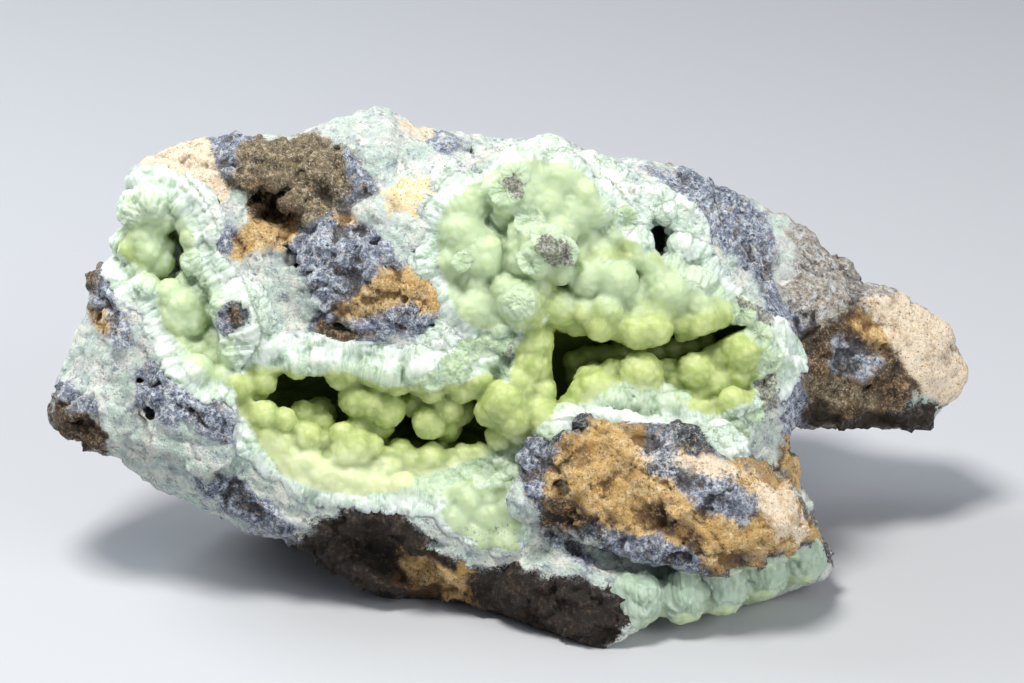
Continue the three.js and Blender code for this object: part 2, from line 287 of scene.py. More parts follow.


# Places read off the picture, as x and y

# Balls of the crust: x, y, radius and how much of the ball stands out.
BALLS = [
    # row under the upper rim of the hollow's left end
    (238, 384, 19, 0.7), (262, 380, 16, 0.6), (350, 369, 14, 0.7), (386, 372, 19, 0.8),
    (424, 371, 23, 0.8), (452, 374, 20, 0.8), (478, 362, 15, 0.6), (300, 372, 17, 0.5),
    # middle of the left end
    (357, 399, 19, 0.9), (387, 409, 19, 0.9), (372, 402, 17, 0.7), (430, 422, 18, 0.9),
    (447, 407, 18, 0.9), (473, 405, 11, 0.7), (462, 388, 16, 0.6), (330, 384, 20, 0.7),
    (312, 392, 15, 0.5), (288, 396, 16, 0.5), (415, 402, 16, 0.6), (490, 412, 16, 0.7),
    # floor of the left end
    (284, 420, 13, 0.5), (303, 414, 14, 0.5), (322, 424, 13, 0.5), (342, 434, 13, 0.5),
    (268, 408, 12, 0.5), (300, 432, 12, 0.4), (356, 426, 11, 0.5), (325, 440, 12, 0.35),
    (285, 440, 12, 0.3), (372, 446, 12, 0.35), (400, 452, 14, 0.3), (345, 455, 14, 0.3),
    (432, 448, 13, 0.35), (462, 446, 14, 0.35), (500, 436, 15, 0.4), (390, 470, 16, 0.25),
    (425, 468, 16, 0.25), (310, 462, 15, 0.25), (352, 480, 15, 0.2), (455, 468, 14, 0.25),
    (380, 462, 12, 0.3), (410, 462, 11, 0.3), (335, 462, 11, 0.3), (480, 455, 13, 0.3),
    (300, 484, 13, 0.25), (328, 492, 13, 0.25), (370, 490, 12, 0.25), (275, 462, 12, 0.25),
    # pillar
    (533, 342, 21, 0.9), (531, 365, 21, 0.8), (520, 383, 20, 0.8), (505, 402, 23, 0.8),
    (540, 392, 17, 0.6), (560, 394, 16, 0.6), (538, 414, 22, 0.7), (516, 418, 18, 0.6),
    (492, 395, 15, 0.7), (570, 408, 14, 0.4),
    # hanging balls over the right end
    (560, 309, 20, 0.9), (587, 279, 19, 0.8), (603, 272, 15, 0.7), (617, 281, 21, 0.8),
    (607, 309, 16, 0.8), (586, 312, 16, 0.7), (600, 327, 15, 0.8), (577, 322, 14, 0.7),
    (630, 299, 20, 0.7), (637, 331, 18, 0.8), (655, 328, 18, 0.9), (619, 326, 14, 0.7),
    (683, 319, 16, 0.8), (672, 292, 20, 0.6), (697, 302, 15, 0.7), (664, 309, 14, 0.7),
    (706, 317, 13, 0.6), (655, 275, 18, 0.5), (690, 283, 16, 0.5), (722, 312, 13, 0.5),
    (738, 312, 12, 0.5), (718, 300, 14, 0.4),
    # floor and wall of the right end
    (641, 373, 22, 0.9), (624, 384, 15, 0.5), (675, 378, 14, 0.8), (697, 372, 20, 0.8),
    (715, 383, 20, 0.8), (722, 358, 17, 0.7), (742, 352, 21, 0.9), (700, 392, 17, 0.6),
    (612, 371, 13, 0.7), (668, 372, 14, 0.7), (690, 368, 13, 0.7),
    (711, 361, 14, 0.7), (730, 350, 14, 0.7), (748, 341, 12, 0.6),
    (735, 375, 18, 0.7), (738, 421, 18, 0.8), (752, 388, 16, 0.5), (700, 396, 20, 0.4),
    (668, 388, 20, 0.4),
    # mound over the pillar
    (462, 232, 24, 0.7), (470, 205, 20, 0.4), (486, 262, 16, 0.6), (475, 283, 18, 0.5),
    (452, 262, 16, 0.5), (505, 262, 14, 0.5), (470, 310, 16, 0.5), (498, 325, 15, 0.4),
    (520, 302, 22, 0.8), (540, 285, 15, 0.5), (455, 300, 14, 0.4), (545, 205, 22, 0.5),
    (566, 180, 26, 0.5), (575, 215, 22, 0.5), (560, 232, 18, 0.5), (596, 210, 20, 0.4),
    (590, 240, 18, 0.6), (612, 235, 15, 0.7), (632, 240, 13, 0.8), (622, 215, 16, 0.5),
    (648, 262, 13, 0.7), (575, 255, 14, 0.5), (604, 255, 14, 0.6), (560, 270, 15, 0.6),
    (520, 170, 24, 0.4), (545, 158, 22, 0.4), (590, 172, 20, 0.35), (500, 190, 18, 0.4),
    (444, 180, 15, 0.3), (430, 215, 14, 0.3), (440, 240, 13, 0.4), (610, 190, 17, 0.35),
    # corner hollow and channel on the left
    (152, 203, 17, 0.8), (141, 236, 14, 0.7), (152, 228, 12, 0.6),
    (160, 263, 15, 0.7), (148, 252, 13, 0.6), (170, 292, 14, 0.5), (186, 283, 12, 0.6),
    (182, 305, 14, 0.4), (200, 292, 12, 0.5), (192, 322, 14, 0.4), (206, 340, 13, 0.4),
    (172, 318, 12, 0.4), (214, 360, 13, 0.4), (198, 352, 12, 0.3), (222, 378, 13, 0.4),
    (166, 246, 9, 0.7), (180, 224, 8, 0.6), (176, 282, 10, 0.6),
    # clear balls on the front under the floor
    (470, 500, 15, 0.8), (491, 517, 15, 0.8), (455, 520, 12, 0.7), (504, 540, 13, 0.8),
    (477, 537, 13, 0.7), (441, 502, 11, 0.7), (519, 524, 10, 0.7), (509, 504, 10, 0.7),
    (488, 498, 9, 0.7),
]

# Balls broken across, which show their fibres: x, y, radius.
BROKEN_BALLS = [
    (520, 303, 16), (505, 190, 17), (498, 222, 16), (528, 222, 15), (514, 176, 14),
    (548, 240, 17), (565, 252, 14), (530, 262, 13), (455, 368, 15), (432, 380, 12),
    (502, 338, 15), (500, 362, 14), (470, 350, 12), (486, 344, 11), (742, 312, 14),
    (758, 334, 14), (768, 360, 14), (764, 386, 14), (752, 410, 13), (735, 432, 13),
    (560, 168, 14), (606, 218, 13), (626, 218, 12), (652, 222, 12), (462, 262, 10),
]

# Balls deep in the slot: x, y, radius.
BACK_BALLS = [
    (574, 362, 12), (588, 357, 12), (603, 355, 11), (619, 352, 11), (636, 353, 11), (655, 351, 11),
    (672, 349, 11), (690, 346, 10), (706, 341, 10), (577, 378, 12),
]

# Holes in the rock: x, y, half width, half height, turn in degrees and depth in millimetres.
PITS = [
    (262, 194, 12, 8, -30, 3.5), (283, 214, 15, 7, -20, 3.0), (270, 205, 14, 6, -35, 2.6),
    (297, 262, 7, 11, 10, 3.5), (291, 250, 5, 5, 0, 2.0), (376, 241, 6, 6, 0, 1.6),
    (344, 328, 14, 4, 8, 2.2), (430, 325, 10, 4, 5, 1.8), (175, 268, 7, 10, -20, 5.0),
    (139, 381, 5, 4, 0, 2.0), (148, 413, 6, 4, 10, 1.6), (655, 240, 11, 17, 20, 6.0),
    (880, 350, 5, 4, 0, 1.2), (865, 385, 7, 4, -10, 1.4), (275, 200, 22, 9, -32, 3.5),
    (910, 372, 4, 3, 0, 1.0), (335, 150, 4, 3, 0, 1.0), (300, 170, 4, 3, 0, 0.9),
    (240, 172, 4, 3, 0, 1.0), (404, 300, 4, 3, 0, 1.0), (425, 285, 3, 3, 0, 0.9),
    (320, 275, 4, 3, 0, 0.9), (100, 320, 4, 6, 0, 1.2), (72, 420, 5, 3, -30, 1.2),
]

# Where the hollow goes deeper, written as the holes are.
DEEP = [(170, 242, 13, 25, 12, 4.5), (300, 388, 22, 10, 0, 4.0)]

# The dark slot between the hanging balls and the floor of the hollow's right end.
SLOT = (
    "554,334 574,347 604,353 640,361 690,359 722,346 750,329 742,321 715,331 680,343 640,348 610,341 "
    "580,332"
)

# The dark gap right of the pillar.
GAP = "555,330 573,341 586,348 584,362 572,376 563,392 556,384 553,362 552,345"

# Broken crust along the front lip of the right end: x, y, radius.
LIP = [
    (552, 433, 16), (565, 420, 16), (580, 409, 16), (595, 401, 16), (611, 397, 16), (628, 395, 16),
    (645, 396, 16), (662, 400, 16), (679, 407, 15), (695, 415, 15), (709, 424, 15), (721, 434, 14),
    (731, 445, 14),
]

# Crust that closes the seams beside the hollow's rims: x, y, radius.
SEAMS = [
    (232, 350, 13), (248, 347, 14), (264, 349, 14), (282, 350, 13), (300, 350, 12), (318, 349, 11),
    (196, 192, 12), (206, 206, 12), (213, 222, 12), (440, 338, 10), (470, 335, 11), (250, 300, 11),
    (252, 318, 11), (252, 334, 12), (424, 257, 10), (424, 269, 10),
]

# Places where the rock has no crust: x, y, radius.
BARE = [(597, 452, 13), (561, 490, 13), (580, 437, 10), (234, 318, 17)]

# Pieces of rock that show through the crust: x, y, radius.
ROCK_LUMPS = [(234, 318, 20), (546, 470, 28), (574, 462, 26), (534, 498, 26), (586, 484, 20)]

# Areas of the broken face, drawn one over the other: what they are and their outline.
AREAS = [
    ("slate", "640,168 700,170 735,188 770,224 782,262 765,298 748,290 715,258 690,240 680,205"),
    ("grey", "752,190 800,215 860,268 915,288 950,318 905,312 850,306 808,335 790,330 778,290 800,262 "
             "790,232"),
    ("slate", "765,285 800,318 812,400 806,470 790,470 778,420 772,360 760,312"),
    ("ochre", "785,438 800,434 808,470 798,488 787,470"),
    ("mint", "686,258 716,246 742,268 758,292 722,296 694,286"),
    ("brown", "800,345 828,318 862,304 890,335 922,380 905,415 850,424 806,418"),
    # Painted shade: near-black brown at the foot of the lobe.
    ("umber", "804,412 850,418 905,408 942,400 930,434 850,436 806,434"),
    ("tan", "866,300 905,290 950,316 978,355 972,392 942,404 910,374 884,338"),
    ("olive", "812,372 846,378 880,396 872,410 826,404 808,390"),
    ("ochre", "846,322 866,316 888,340 880,350 858,338"),
    ("slate", "836,340 858,336 880,362 858,376 836,366"),
    ("tan", "140,160 185,134 206,130 218,148 224,178 230,196 212,210 192,196 168,184 148,178"),
    ("slate", "422,132 448,134 472,142 474,153 444,156 424,146"),
    ("tan", "398,122 424,126 434,138 414,138"),
    ("cream", "380,188 420,178 456,181 450,196 424,214 386,220"),
    ("olive", "212,140 232,128 262,138 320,134 346,150 376,190 352,208 330,216 302,234 256,214 230,184 "
              "220,165"),
    ("slate", "212,138 240,132 254,142 236,152 238,178 220,168"),
    ("slate", "346,152 376,190 352,208 336,202 352,188"),
    ("brown", "248,186 268,184 302,205 306,226 290,234 262,222 246,204"),
    ("slate", "198,240 225,218 240,226 238,248 215,258"),
    ("ochre", "232,240 250,222 278,220 304,230 292,246 262,254 240,258"),
    ("slate", "288,250 312,222 345,208 378,228 408,262 440,290 458,318 442,334 400,338 350,341 304,338 "
              "312,302 300,276"),
    ("ochre", "332,218 350,210 362,222 350,228"),
    ("ochre", "352,300 378,268 408,268 444,296 432,312 398,300 362,316 342,322 340,308"),
    ("brown", "318,322 350,322 372,334 344,342 322,340"),
    ("slate", "214,312 230,294 252,298 262,322 252,344 232,344 216,332"),
    ("brown", "224,312 234,304 246,312 244,326 232,330"),
    ("slate", "84,268 104,264 122,298 138,345 122,354 102,336 88,306"),
    ("brown", "82,270 98,266 106,280 96,294 84,288"),
    ("ochre", "92,306 106,312 116,332 104,334 92,322"),
    ("slate", "128,366 166,356 198,374 232,418 242,446 212,444 184,424 160,428 138,402"),
    ("brown", "44,402 62,396 86,412 108,432 104,452 80,446 56,434"),
    ("slate", "62,380 90,392 96,412 80,410 58,396"),
    ("slate", "190,470 232,480 300,524 290,540 250,532 205,500"),
    # Dark grey rock of the nose, its lower left also darkened as painted shade under the overhang.
    ("dark", "520,442 548,430 600,402 650,402 742,448 775,470 818,520 842,566 800,580 720,580 680,590 "
             "600,566 545,548 528,505"),
    ("ochre", "560,452 592,428 606,420 650,440 700,462 742,470 780,488 812,528 798,552 744,560 712,572 "
              "668,540 620,530 585,512 560,490"),
    ("tan", "640,446 700,458 745,474 720,486 668,476 644,468"),
    ("slate", "668,470 700,474 748,484 764,510 744,524 704,514 680,496"),
    ("tan", "752,484 780,492 806,520 800,540 776,536 760,510"),
    ("brown", "640,500 668,508 712,540 700,552 664,532 640,516"),
    ("slate", "655,428 676,434 672,466 656,470 648,448"),
    ("slate", "514,450 545,440 562,462 556,492 530,500"),
    ("slate", "610,536 660,540 700,556 690,574 640,566 600,552"),
    ("mint", "526,506 566,524 604,550 650,566 702,578 690,600 630,592 560,560"),
    ("slate", "545,528 575,540 600,560 585,566 556,548"),
    ("slate", "634,570 672,574 694,584 680,594 646,584"),
    ("ochre", "536,470 560,462 572,492 556,500 540,490"),
    # Painted shade: brown under the slate lumps at the nose's lower left.
    ("brown", "542,498 580,502 596,520 576,532 548,522"),
    # Painted shade: near-black brown on the underside.
    ("umber", "286,540 345,510 396,510 430,540 472,562 540,568 622,592 640,606 600,660 380,610 300,556"),
    ("ochre", "402,562 432,556 470,578 462,594 420,590"),
]

# Areas of smooth green crust.
GREEN = [
    ("226,372 262,366 300,374 345,374 400,388 450,380 485,372 506,382 516,350 528,326 546,320 556,300 "
     "538,288 548,262 575,256 600,262 640,262 655,250 690,285 730,302 760,320 766,345 762,380 756,408 "
     "735,430 700,414 655,394 625,382 595,394 562,428 520,444 480,458 440,470 400,486 360,498 318,500 "
     "284,478 258,444 238,410"),
    ("146,214 185,220 198,238 180,262 187,288 206,300 216,338 232,368 210,378 186,348 166,330 158,300 "
     "160,275 128,262 116,252 126,234"),
    ("438,215 470,186 505,162 560,156 592,172 604,212 630,232 648,264 590,262 560,290 540,330 500,332 "
     "468,338 450,300 436,260"),
]

# Clear balls on the front, and the smooth band of the crust under the nose.
CLEAR = "444,494 470,484 505,494 524,518 518,548 488,552 456,534 442,514"
BAND = "690,616 760,600 800,588 840,566 842,584 790,610 740,626 690,636"

# Areas of paler and of yellower crust; on the hollow's floor the yellower crust is also lighter as painted
# light, where the light falls on it.
PALE = [
    "380,180 470,150 600,150 650,170 700,230 700,262 620,250 570,262 545,300 520,332 440,335 430,260",
    "120,180 190,180 215,300 240,372 200,380 150,300",
    "600,590 850,530 850,600 600,660",
    "430,485 480,475 530,510 520,560 440,545",
    "545,268 600,250 700,262 745,296 700,308 620,312 560,306",
]
YELLOW = [
    "380,186 420,178 456,180 450,196 420,214 384,218",
    "258,440 340,450 440,462 540,430 600,396 640,388 700,416 600,420 520,452 440,486 360,502 300,500",
]

# Rock and dirt that show on the crust.
STAINS = [
    "536,240 560,236 576,246 574,264 552,268 540,256",
    "500,180 516,172 528,182 522,198 506,196",
    "736,296 760,300 775,320 760,322 742,310",
    "500,352 512,344 516,358 508,368",
    "752,380 776,372 784,410 770,424 758,404",
]

# The hollow's ellipsoids under the crust: centre, half sizes and turn in degrees.
HOLLOWS = [
    ((-13.8, -6.4, -3.4), (15.6, 4.1, 11.5), -8), ((-10.0, -10.4, 6.4), (16.6, 5.0, 6.6), -4),
    ((1.8, -4.4, -2.0), (6.4, 4.6, 8.0), 12), ((15.6, -2.6, -3.4), (11.6, 4.4, 11.5), 4),
    ((13.0, 2.2, 5.4), (11.6, 6.8, 7.0), -8), ((2.0, 9.0, 6.8), (9.4, 8.6, 6.6), -30),
    ((-35.4, 9.8, -1.4), (3.4, 5.2, 8.0), 24), ((-31.6, 2.8, 3.8), (2.7, 7.0, 4.4), 26),
    ((14.8, 10.2, 0.2), (1.6, 2.4, 6.0), 20),
]


# Fields of the three solids

def solid_of(node):
    """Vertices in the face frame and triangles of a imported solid."""
    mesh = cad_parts[node].data
    mesh.calc_loop_triangles()
    points = np.empty(len(mesh.vertices) * 3)
    mesh.vertices.foreach_get("co", points)
    triangles = np.empty(len(mesh.loop_triangles) * 3, np.int32)
    mesh.loop_triangles.foreach_get("vertices", triangles)
    return to_face(points.reshape(-1, 3)), triangles.reshape(-1, 3)


ROCK_STEP, CRUST_STEP = (0.27, 0.22) if SLOW else (0.45, 0.35)
GROWN_OVER = 2.0  # millimetres of rock beside a crust that the crust may grow over
THICKER = 1.2  # and how much thicker it may get there
DEPTHS = np.arange(12.0, -16.0, -0.15)  # tried along each line of sight, from the front

rng = np.random.default_rng(7)

rock = Field.of_mesh(*solid_of("host_rock"), ROCK_STEP, 6)
crust = Field.of_mesh(*solid_of("wavellite_crust"), CRUST_STEP, 8, margin=4.0)
under = Field.of_mesh(*solid_of("underside_crust"), CRUST_STEP, 8, margin=2.5)
rock.soften(1)
crust.soften(3)
under.soften(2)


def field_box(field):
    """The two outer corners of a field's grid."""
    return field.first * field.step, (field.first + np.array(field.shape) - 1) * field.step


def fill_gap(field):
    """Lets a crust grow onto the rock across the gap between the two solids."""
    at = np.stack([grid.ravel() for grid in field.block(*field_box(field))[1]], axis=1)
    near = np.abs(field.values.ravel()) < GROWN_OVER
    beside = np.full(field.values.size, FAR, np.float32)
    beside[near] = rock.sample(at[near])
    beside = beside.reshape(field.shape)
    mix = np.clip(0.5 + 0.5 * (beside - field.values) / GROWN_OVER, 0, 1)
    joined = beside * (1 - mix) + field.values * mix - GROWN_OVER * mix * (1 - mix)
    field.values = np.maximum(joined, field.values - THICKER).astype(np.float32)


def first_hit(px, py):
    """Point where the line of sight through each picture place first meets the specimen."""
    px, py = np.asarray(px, float), np.asarray(py, float)
    lines = np.stack([np.stack([sight(x, y, w) for w in DEPTHS]) for x, y in zip(px, py)])
    flat = lines.reshape(-1, 3)
    near = np.minimum(np.minimum(rock.sample(flat), crust.sample(flat)), under.sample(flat))
    near = near.reshape(len(px), -1)
    index = np.where((near < 0).any(1), (near < 0).argmax(1), len(DEPTHS) - 1)
    return lines[np.arange(len(px)), index]


def void_distance(points, hollows=HOLLOWS):
    """Signed distance to the hollow under its crust, negative in the hollow."""
    best = np.full(len(points), 99.0)
    for centre, half, turn in hollows:
        shape = lump(centre, half, math.radians(turn))
        best = np.minimum(best, shape(*points.T))
    return best


# Balls

SPREAD = np.array([(0, 0), (1, 0), (-1, 0), (0, 1), (0, -1)])  # a place and its neighbours
SLOT_BACK, GAP_BACK = -5.5, -7.0  # how far back, in w, the slot and the gap are open
BACK_BALL_DEPTH = -4.2  # in w, for the balls deep in the slot
SLOT_SPAN = (-11.0, 9.0)  # the depths between which both are cut
UPPER = 340  # picture y above which the balls run into each other more
SPACING = 1.8  # between the small balls that fill the hollow
SMALLEST, LARGER = 1.0, 0.75  # their least radius, and how much more it can be
CRUST_BLEND, BALL_BLEND, SLOT_BLEND = 0.8, 0.5, 0.6  # millimetres, as BLEND
SMALL_BLEND, BARE_BLEND, BROKEN_BLEND = 0.3, 0.1, 0.05
HELD_UP = 0.45  # how far a broken ball stands out of the surface
RAGGED_HOLE, RAGGED_LUMP = 0.45, 0.3  # how uneven their skins are

plain_balls = []


def place_balls():
    """Centres and radii of the listed balls, each set into the surface that it is seen on."""
    table = np.array(BALLS, float)
    beside = 0.5 * table[:, 2]
    hits = np.stack([first_hit(table[:, 0] + dx * beside, table[:, 1] + dy * beside) for dx, dy in SPREAD])
    depth = np.median(hits[:, :, 2], axis=0)
    radius = table[:, 2] * PIXEL
    depth = depth - radius * (1 - 0.8 * table[:, 3])
    centres = np.stack([sight(x, y, w) for (x, y), w in zip(table[:, :2], depth)])
    return centres, radius


def add_ball(centre, radius, blend):
    """Grows a ball on the main crust."""
    crust.join(centre - radius - 1, centre + radius + 1, ball(centre, radius), blend)


def add_broken_crust(rows, levels):
    """Grows balls of broken crust at some depths and lists them for their looks."""
    for (px, py, size), level in zip(rows, levels):
        radius = size * PIXEL
        centre = sight(px, py, level - 0.75 * radius)
        add_ball(centre, radius, CRUST_BLEND)
        plain_balls.append((centre, radius))


def hole(row, at):
    """Shape of a hole at a point, from its row in a table, and how far it can reach."""
    half = np.array([row[2] * PIXEL, row[3] * PIXEL, row[5]])
    return lump(at, half, -math.radians(row[4])), half.max() + 1


for row in DEEP:
    at = first_hit([row[0]], [row[1]])[0]
    shape, reach = hole(row, at)
    crust.cut(at - reach, at + reach, shape, CRUST_BLEND)
centres, radii = place_balls()
broken = np.array(BROKEN_BALLS, float)
broken_at = first_hit(broken[:, 0], broken[:, 1])
broken_radii = broken[:, 2] * PIXEL


def scatter(field, spacing, keep, seed):
    """Well spaced points on a field's surface, with outward normals."""
    points, _ = field.surface()
    points = points[keep(points)]
    order = np.random.default_rng(seed).permutation(len(points))
    filled, chosen = {}, []
    for index in order:
        p = points[index]
        i, j, k = key = tuple(np.floor(p / spacing).astype(int))
        around = [
            q
            for a in (i - 1, i, i + 1)
            for b in (j - 1, j, j + 1)
            for c in (k - 1, k, k + 1)
            for q in filled.get((a, b, c), ())
        ]
        if all(((p - q) ** 2).sum() >= spacing * spacing for q in around):
            filled.setdefault(key, []).append(p)
            chosen.append(p)
    chosen = np.array(chosen)
    return chosen, field.slope(chosen)


def lining(points):
    """True on the crust's own faces towards the hollow."""
    return (rock.sample(points) > 0.6) & (void_distance(points) < 0.35)


picked = np.array(BALLS)
seeds, normals = scatter(crust, SPACING, lining, 3)
x, y = in_picture(seeds)
gentle = np.maximum.reduce([inside(outline, x, y) for outline in YELLOW]) > 0
for p, n, low, roll in zip(seeds, normals, gentle, rng.random(len(seeds))):
    px, py = in_picture(p[None])
    covered = np.hypot(px - picked[:, 0], py - picked[:, 1]) < picked[:, 2] * 0.9
    if (covered & (np.abs(centres[:, 2] - p[2]) < 3.5)).any():
        continue
    radius = SMALLEST + LARGER * roll
    lift = 0.25 if low else 0.4 + 0.25 * roll
    add_ball(p - n * radius * (1 - lift), radius, SMALL_BLEND)


def prism(outline, back):
    """What the picture shows inside an outline, in front of depth back."""

    def shape(u, v, w):
        x, y = in_picture(np.stack([u.ravel(), v.ravel(), w.ravel()], axis=1))
        return np.maximum(-inside(outline, x, y).reshape(u.shape) * PIXEL, back - w)

    return shape


lip = np.array(LIP, float)
lip_depth = first_hit(lip[:, 0], lip[:, 1] + 13)[:, 2]
slot = np.array(corners_of(SLOT) + corners_of(GAP), float)
slot_ends = [
    sight(slot[:, 0].min(), slot[:, 1].max(), SLOT_SPAN[0]),
    sight(slot[:, 0].max(), slot[:, 1].min(), SLOT_SPAN[1]),
]
for outline, back in ((SLOT, SLOT_BACK), (GAP, GAP_BACK)):
    crust.cut(np.min(slot_ends, axis=0) - 2, np.max(slot_ends, axis=0) + 2, prism(outline, back), SLOT_BLEND)
for px, py, size in BACK_BALLS:
    add_ball(sight(px, py, BACK_BALL_DEPTH), size * PIXEL, BALL_BLEND)
for centre, radius, row in zip(centres, radii, BALLS):
    add_ball(centre, radius, BALL_BLEND if row[1] < UPPER else 0.5 * BALL_BLEND)


def broken_ball(centre, radius, tilt):
    """A ball cut off flat close to its middle, with the flat facing the way of tilt."""
    whole = ball(centre, radius)

    def shape(u, v, w):
        face = (u - centre[0]) * tilt[0] + (v - centre[1]) * tilt[1] + (w - centre[2]) * tilt[2]
        return np.maximum(whole(u, v, w), face - 0.12 * radius)

    return shape


for at, radius in zip(broken_at, broken_radii):
    tilt = np.append(rng.normal(0, 0.22, 2), 1.0)
    tilt /= np.linalg.norm(tilt)
    at[2] += HELD_UP
    crust.join(at - radius - 1, at + radius + 1, broken_ball(at, radius, tilt), BROKEN_BLEND)

add_broken_crust(LIP, lip_depth)
seams = np.array(SEAMS, float)
beside = 0.7 * seams[:, 2]
hits = [first_hit(seams[:, 0] + dx * beside, seams[:, 1] + dy * beside) for dx, dy in SPREAD]
add_broken_crust(SEAMS, np.sort(np.stack(hits)[:, :, 2], axis=0)[3])

pits = np.array(PITS, float)
for row, at in zip(PITS, first_hit(pits[:, 0], pits[:, 1])):
    shape, reach = hole(row, at)
    for field in (rock, crust):
        field.cut(at - reach, at + reach, ragged(shape, RAGGED_HOLE))
for field in (crust, under):
    fill_gap(field)
for px, py, size in BARE:
    radius = size * PIXEL
    at = first_hit([px], [py])[0]
    crust.cut(at - radius - 1, at + radius + 1, ball(at, radius), BARE_BLEND)
for px, py, size in ROCK_LUMPS:
    half = size * PIXEL
    level = np.sort(first_hit(px + 0.6 * size * SPREAD[:, 0], py + 0.6 * size * SPREAD[:, 1])[:, 2])[3]
    at = sight(px, py, level - 0.12 * half)
    body = lump(at, (half, 1.1 * half, 0.5 * half), 0.4)
    rock.join(at - 5, at + 5, ragged(body, RAGGED_LUMP), CRUST_BLEND)


# Meshes

def coarsen(mesh, weights, target):
    """The mesh with fewer triangles, first taken where the weights are high."""
    obj = bpy.data.objects.new("work", mesh)
    bpy.context.scene.collection.objects.link(obj)
    group = obj.vertex_groups.new(name="hidden")
    levels = np.round(weights * 8).astype(int)
    for level in range(1, 9):
        group.add(np.nonzero(levels == level)[0].tolist(), level / 8, "REPLACE")
    modifier = obj.modifiers.new("fewer", "DECIMATE")
    modifier.ratio = min(1.0, target / (2 * len(mesh.polygons)))
    modifier.vertex_group = "hidden"
    modifier.vertex_group_factor = 2.0
    modifier.use_collapse_triangulate = True
    evaluated = obj.evaluated_get(bpy.context.evaluated_depsgraph_get())
    made = bpy.data.meshes.new_from_object(evaluated)
    bpy.data.objects.remove(obj)
    return made


def mesh_of(field, name, hidden, target):
    """Mesh of a field in the face frame, coarse where it is hidden."""
    points, quads = field.surface()
    mesh = bpy.data.meshes.new(name)
    mesh.vertices.add(len(points))
    mesh.vertices.foreach_set("co", points.ravel().astype(np.float32))
    mesh.loops.add(quads.size)
    mesh.loops.foreach_set("vertex_index", quads.ravel().astype(np.int32))
    mesh.polygons.add(len(quads))
    mesh.polygons.foreach_set("loop_start", np.arange(0, quads.size, 4, dtype=np.int32))
    mesh.update(calc_edges=True)
    return coarsen(mesh, hidden(points), target)


def read(mesh):
    """Vertices and unit vertex normals of a mesh."""
    points = np.empty(len(mesh.vertices) * 3, np.float32)
    mesh.vertices.foreach_get("co", points)
    normals = np.empty(len(mesh.vertices) * 3, np.float32)
    mesh.vertex_normals.foreach_get("vector", normals)
    return points.reshape(-1, 3).astype(float), normals.reshape(-1, 3).astype(float)


def cells(points, size, seed, jitter=0.9):
    """For each point: its place around the nearest point of a jittered lattice, how much farther the
    next one is, and which one it is."""
    q = points / size
    base = np.floor(q).astype(np.int64)
    best = np.full(len(q), FAR)
    second = best.copy()
    offset = np.zeros_like(q)
    home = base.copy()
    for index in np.ndindex(3, 3, 3):
        cell = base + np.array(index) - 1
        shift = [lattice(*cell.T, seed + axis) for axis in range(3)]
        d = q - cell - 0.5 - 0.5 * jitter * np.stack(shift, axis=1)
        r = np.sqrt((d * d).sum(1))
        closer = r < best
        second = np.where(closer, best, np.minimum(second, r))
        best = np.where(closer, r, best)
        offset[closer] = d[closer]
        home[closer] = cell[closer]
    return offset * size, (second - best) * size, home


def facets(points, size, seed):
    """Height of small broken faces, each tilted its own way, for a slope of one."""
    offset, _, home = cells(points, size, seed)
    way = np.stack([lattice(*home.T, seed + axis) for axis in (3, 4, 5)], axis=1)
    way /= np.linalg.norm(way, axis=1)[:, None] + 1e-6
    return (offset * way).sum(1)


def fans(points):
    """Where each point's fibre starts, the margin to the next bundle of fibres, the bundle's own
    number and the distance to the hollow."""
    bent = points + 0.55 * np.stack([noise(points, 2.2, 26 + axis) for axis in range(3)], axis=1)
    offset, margin, home = cells(bent, 2.3, 11)
    reach = np.sqrt((offset * offset).sum(1)) + 1e-6
    root = points - offset + offset * (1.1 / reach)[:, None]
    tag = lattice(*home.T, 16)
    away = void_distance(points, HOLLOWS[:-1])
    step = 0.1
    moved = [void_distance(points + step * axis, HOLLOWS[:-1]) for axis in np.eye(3)]
    slope = (np.stack(moved, axis=1) - away[:, None]) / step
    size = (slope * slope).sum(1) + 1e-6
    column = points - slope * (away / size)[:, None]
    near = (away < 3.2) & (away > -1.5)
    _, column_margin, column_home = cells(column, 0.85, 13)
    root[near] = column[near]
    margin[near] = column_margin[near]
    tag[near] = lattice(*column_home.T, 18)[near]
    return root, margin, tag, away


def put(mesh, name, values):
    """Keeps a number for each vertex, for the materials to read."""
    attribute = mesh.attributes.new(name, "FLOAT", "POINT")
    attribute.data.foreach_set("value", np.ascontiguousarray(values, np.float32))


def put_vector(mesh, name, values):
    """Keeps a vector for each vertex, for the materials to read."""
    attribute = mesh.attributes.new(name, "FLOAT_VECTOR", "POINT")
    attribute.data.foreach_set("vector", np.ascontiguousarray(values, np.float32).ravel())


def painted(outlines, x, y, points, edge=13.0, wander=6.0):
    """How far each point lies in any of some outlines, from 0 to 1, with a soft and ragged edge."""
    drift = wander * (noise(points, 1.6, 31) + 0.6 * noise(points, 0.7, 32))
    cover = np.zeros(len(points))
    for outline in outlines:
        cover = np.maximum(cover, ease(-edge, edge, inside(outline, x, y) + drift))
    return cover


def settle(mesh, points):
    """Puts moved vertices back into the part frame, inside the solids' box."""
    low, high = (np.array(corner) for corner in sizes["solids"])
    mesh.vertices.foreach_set("co", np.clip(to_part(points), low, high).ravel().astype(np.float32))
    mesh.update()


STONES = ("slate", "grey", "olive", "ochre", "tan", "brown", "dark", "umber", "cream")

# Stones of the sides and the back: the size of their patches and how rare they are.
WEATHERED = (("grey", 9.0, -9.0), ("olive", 9.0, 0.20), ("slate", 6.0, 0.42),
             ("tan", 12.0, 0.38), ("ochre", 6.0, 0.75), ("brown", 7.0, 0.60))

BEDDING = np.array([0.86, -0.50, 0.1])  # the way in which the rock's steps run


